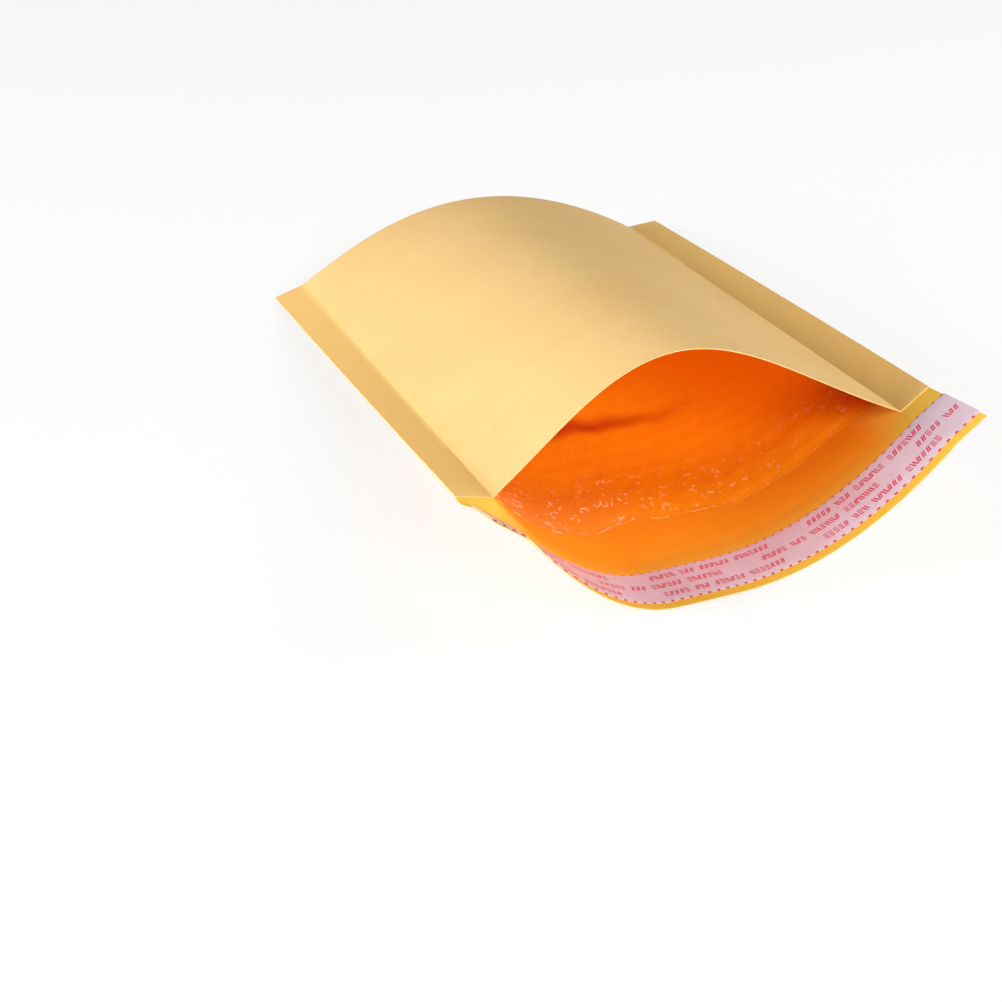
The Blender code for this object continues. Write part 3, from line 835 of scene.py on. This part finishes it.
class ENVELOPE_OT_bubble_film(bpy.types.Operator):
    """Line the pocket with bubble film"""

    bl_idname = "envelope.bubble_film"
    bl_label = "Bubble film"

    def execute(self, context):
        settings = context.scene.envelope_film
        reach = HALF_PANEL - FILM_INSET
        columns = steps(-reach, reach, FILM_COLUMN) + [reach]
        near = FILM_FINE_ROWS / POCKET_LENGTH
        rows = steps(MOUTH, near, FILM_FINE_ROW / POCKET_LENGTH)
        rows += steps(near, FOLD_START, FILM_LOWER_ROW / POCKET_LENGTH)
        rows += steps(FOLD_START, FOLD_END, FILM_FOLD_ROW)
        rows += steps(FOLD_END, UPPER_EDGE, FILM_UPPER_ROW / POCKET_LENGTH) + [UPPER_EDGE]
        piece, sideways, place = flat_grid("bubble_film", columns, rows)
        across = sideways / HALF_PANEL
        end = closed_row(across)
        start_lower = film_start(across, FILM_MIDDLE_LOWER) / end
        start_upper = film_start(across, FILM_MIDDLE_UPPER) / end
        folded = np.where(place < FOLD_START, mix(start_lower, FOLD_START, place), place)
        past_fold = mix(FOLD_END, UPPER_EDGE - start_upper, place - FOLD_END)
        folded = np.where(place > FOLD_END, past_fold, folded)
        along = np.where(folded <= FOLD_START, folded, np.minimum(UPPER_EDGE - folded, 1.0)) * end
        first = np.where(folded < (FOLD_START + FOLD_END) / 2, start_lower, start_upper) * end
        from_edge = np.maximum(along - first, 0.0)

        # The film stands off the paper on its bubbles, and lies pressed down at its cut edge and welds.
        radius = settings.bubble / MM / 2
        bubble = 1.0 - ease(nearest_bubble(sideways, along, settings.pitch / MM) / radius, 0.0)
        crumple = 0.1 * waves(sideways, along, size=4.0, seed=3)
        crumple = crumple + 0.2 * waves(sideways, along, size=9.0, seed=5)
        loose = np.exp(-from_edge / FILM_LOOSE_RUN) * (1.0 - np.clip(across + 0.4, 0.0, 0.8))
        stand = settings.height / MM + settings.swell / MM * bubble + crumple * (0.15 + loose)
        from_weld = reach - np.abs(sideways)
        pressed = ease(from_edge / FILM_PRESSED_RUN, 0.5) * ease(from_weld / FILM_WELD_RUN, 1.0)
        at_edge = FILM_CURL * np.exp(-(from_edge / FILM_CURL_RUN) ** 2)
        curl = at_edge * np.maximum(waves(sideways, along, size=8.0, seed=8), 0.0)
        wanted = np.maximum(stand * mix(0.12, 1.0, pressed) + curl, FILM_LEAST)
        flat = settings.thickness / MM + FILM_FLOAT
        settled = ease(from_edge / FILM_SETTLE_RUN, 0.3)
        lower = mix(flat, film_depth(lower_height, upper_height, across, along, wanted), settled)
        upper = mix(flat, film_depth(upper_height, lower_height, across, along, wanted), settled)
        lay(piece, pocket_point(sideways, folded, lower, upper), sideways + FLAT_WIDTH / 2, from_edge)
        piece.data.materials.append(film_material(settings))
        thicken(piece, settings.thickness)
        belong(piece, "bubble_lining")
        return {"FINISHED"}


def flap_strip(name, inset, base, thickness, look):
    """A strip along the flap, inset from the liner's long edges; its own edges droop onto the paper."""
    half = FLAT_WIDTH / 2
    start, end = LINER_START + inset, LINER_END - inset
    columns = steps(-half, half, STRIP_COLUMN) + [half]
    rows = steps(end, start, STRIP_ROW) + [start]
    piece, sideways, away = flat_grid(name, columns, rows)
    across = np.clip(sideways / HALF_PANEL, -1.0, 1.0)
    slope = stretch(lower_height, across, -away)
    margin = np.minimum(away - start, end - away)
    droop = mix(HAIR, base, ease(margin / GLUE_INSET, 1.0))
    points = pocket_point(sideways, -away / FLAP_LENGTH, (droop + thickness / MM) * slope, 0.0)
    lay(piece, points, sideways + half, end - away)
    piece.data.materials.append(look)
    thicken(piece, thickness)
    return piece


class ENVELOPE_OT_release_liner(bpy.types.Operator):
    """Lay the printed release liner along the flap"""

    bl_idname = "envelope.release_liner"
    bl_label = "Release liner"

    def execute(self, context):
        settings = context.scene.envelope_liner
        look = liner_material(settings)
        base = settings.film / MM + 2 * HAIR
        piece = flap_strip("release_liner_strip", 0.0, base, settings.thickness, look)
        belong(piece, "release_liner")
        return {"FINISHED"}


class ENVELOPE_OT_adhesive(bpy.types.Operator):
    """Lay the adhesive strip under the release liner"""

    bl_idname = "envelope.adhesive"
    bl_label = "Adhesive strip"

    def execute(self, context):
        settings = context.scene.envelope_liner
        look = adhesive_material(settings.adhesive)
        piece = flap_strip("adhesive_film", GLUE_INSET, HAIR, settings.film, look)
        belong(piece, "adhesive_strip")
        return {"FINISHED"}


# Camera found by the fit to the photograph, in metres and millimetres of lens.
CAMERA_PLACE = (-0.231391, -0.615340, 0.348576)
CAMERA_AZIMUTH = math.radians(-17.726)
CAMERA_ELEVATION = math.radians(30.449)
CAMERA_ROLL = math.radians(-2.727)
CAMERA_LENS = 74.96
CAMERA_SENSOR = 36.0

FLOOR_SIZE = 2.6
FLOOR_SHADOW = 0.22
LAMP_AIM = 0.03
LAMP_AWAY = 1.6

# Azimuth and elevation in degrees, and width in metres, of each lamp.
LAMPS = {
    "left": (-96.0, 15.0, 0.9),
    "front": (8.0, 30.0, 0.7),
    "right": (70.0, 33.0, 0.7),
}


def stage_material(name, shade, kept_shadow):
    """Pale, and near white to the camera, to gloss and through glass; a share of the shadow stays."""
    paint = Paint(name, Roughness=0.9)
    rays = paint.node("ShaderNodeLightPath")
    seen = rays.most(Value(paint, rays.socket.node.outputs["Is Glossy Ray"]))
    seen = seen.most(Value(paint, rays.socket.node.outputs["Is Transmission Ray"]))
    white = paint.node("ShaderNodeEmission", None, {"Color": (1.0, 1.0, 1.0), "Strength": 1.0})
    place = paint.node("ShaderNodeTexCoord", None, None, output=3)
    grain = paint.noise(place, 60.0)
    dark = tuple(part * 0.97 for part in shade)
    paint.finish(Base_Color=paint.blend(grain, shade, dark))
    surface = Value(paint, paint.shader.outputs[0])
    both = paint.node("ShaderNodeMixShader", None, {0: seen * (1.0 - kept_shadow), 1: surface, 2: white})
    paint.feed(paint.tree.nodes["Material Output"].inputs["Surface"], both)
    return paint.material


def look_from(azimuth, elevation):
    """The turn of a lamp or camera that looks from an azimuth and elevation toward the object."""
    upright = Matrix.Rotation(math.pi / 2 - elevation, 4, "X")
    return Matrix.Rotation(azimuth, 4, "Z") @ upright


def area_lamp(name, azimuth, elevation, size, power):
    """A round soft lamp that looks at the object; azimuth 0 is in front of it and 90 at its right."""
    lamp = bpy.data.lights.new(name, "AREA")
    lamp.shape = "DISK"
    lamp.size = size
    lamp.energy = power
    holder = bpy.data.objects.new(name, lamp)
    bpy.context.scene.collection.objects.link(holder)
    aim = look_from(math.radians(azimuth), math.radians(elevation))
    middle = Matrix.Translation((0.0, 0.0, LAMP_AIM))
    holder.matrix_world = middle @ aim @ Matrix.Translation((0.0, 0.0, LAMP_AWAY))


class ENVELOPE_OT_stage(bpy.types.Operator):
    """Add the floor, the soft light and the camera"""

    bl_idname = "envelope.stage"
    bl_label = "Stage"

    def execute(self, context):
        settings = context.scene.envelope_stage
        scene = context.scene
        bpy.ops.object.select_all(action="DESELECT")
        bpy.ops.mesh.primitive_circle_add(vertices=96, radius=FLOOR_SIZE / 2, fill_type="NGON")
        floor = bpy.context.object
        floor.name = "floor"
        floor.data.materials.append(stage_material("floor", settings.floor, FLOOR_SHADOW))

        world = bpy.data.worlds.new("studio")
        scene.world = world
        world.use_nodes = True
        nodes, links = world.node_tree.nodes, world.node_tree.links
        rays = nodes.new("ShaderNodeLightPath")
        strength = nodes.new("ShaderNodeMapRange")
        strength.inputs["To Min"].default_value = settings.ambient
        strength.inputs["To Max"].default_value = 1.0
        links.new(rays.outputs["Is Camera Ray"], strength.inputs["Value"])
        nodes["Background"].inputs["Color"].default_value = (1.0, 1.0, 1.0, 1.0)
        links.new(strength.outputs["Result"], nodes["Background"].inputs["Strength"])

        for name, place in LAMPS.items():
            area_lamp(name, *place, getattr(settings, name))

        camera = bpy.data.cameras.new("camera")
        camera.lens = CAMERA_LENS
        camera.sensor_width = CAMERA_SENSOR
        camera.clip_start, camera.clip_end = 0.01, 20.0
        holder = bpy.data.objects.new("camera", camera)
        scene.collection.objects.link(holder)
        turn = look_from(CAMERA_AZIMUTH, CAMERA_ELEVATION)
        holder.matrix_world = Matrix.Translation(CAMERA_PLACE) @ turn @ Matrix.Rotation(CAMERA_ROLL, 4, "Z")
        scene.camera = holder
        scene.view_settings.view_transform = "Standard"
        return {"FINISHED"}


class ENVELOPE_PT_parts(bpy.types.Panel):
    """Lists the envelope's pieces with their sizes and colours"""

    bl_label = "Padded envelope"
    bl_idname = "ENVELOPE_PT_parts"
    bl_space_type = "VIEW_3D"
    bl_region_type = "UI"
    bl_category = "Envelope"

    def draw(self, context):
        for operator, group in STEPS:
            box = self.layout.box()
            box.operator(operator.bl_idname)
            settings = getattr(context.scene, group)
            for name in settings.__annotations__:
                box.prop(settings, name)


GROUPS = {
    "envelope_paper": PaperSettings,
    "envelope_film": FilmSettings,
    "envelope_liner": LinerSettings,
    "envelope_stage": StageSettings,
}
STEPS = (
    (ENVELOPE_OT_kraft_paper, "envelope_paper"),
    (ENVELOPE_OT_bubble_film, "envelope_film"),
    (ENVELOPE_OT_release_liner, "envelope_liner"),
    (ENVELOPE_OT_adhesive, "envelope_liner"),
    (ENVELOPE_OT_stage, "envelope_stage"),
)


def register():
    for name, group in GROUPS.items():
        bpy.utils.register_class(group)
        setattr(bpy.types.Scene, name, bpy.props.PointerProperty(type=group))
    for operator, group in STEPS:
        bpy.utils.register_class(operator)
    bpy.utils.register_class(ENVELOPE_PT_parts)


def unregister():
    bpy.utils.unregister_class(ENVELOPE_PT_parts)
    for operator, group in STEPS:
        bpy.utils.unregister_class(operator)
    for name, group in GROUPS.items():
        delattr(bpy.types.Scene, name)
        bpy.utils.unregister_class(group)


def main():
    register()
    bpy.ops.envelope.kraft_paper()
    bpy.ops.envelope.bubble_film()
    bpy.ops.envelope.release_liner()
    bpy.ops.envelope.adhesive()
    bpy.ops.envelope.stage()


if __name__ == "__main__":
    main()
